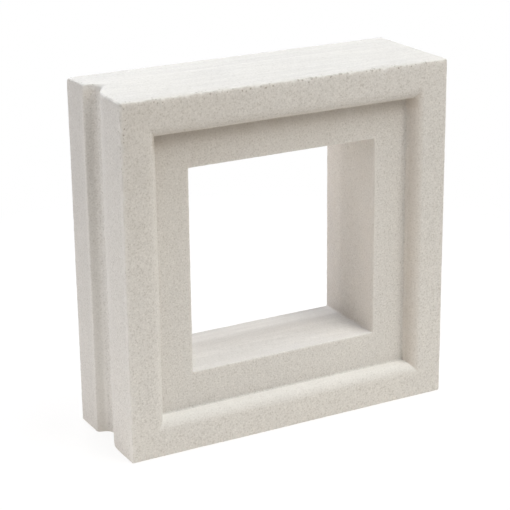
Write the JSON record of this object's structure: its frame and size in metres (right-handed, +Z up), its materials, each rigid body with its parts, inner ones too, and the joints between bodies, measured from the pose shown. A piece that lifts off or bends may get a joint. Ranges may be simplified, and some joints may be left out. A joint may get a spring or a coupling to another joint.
{
  "type": "concrete ventilation block",
  "caption": "Square cast concrete ventilation block with a recessed ledge on each broad face, a square vent through the middle and a mortar channel up its left side.",
  "frame": {"origin": "on the floor plane under the middle of the block's bottom bed face", "axes": "+X across the width to the right seen from the front, +Y from the front face to the back face, +Z up"},
  "size_m": [0.19, 0.065, 0.19],
  "materials": {
    "concrete": "matt, fine sandy cast face"
  },
  "bodies": {
    "root": {"vent_block": "concrete"}
  },
  "joints": []
}
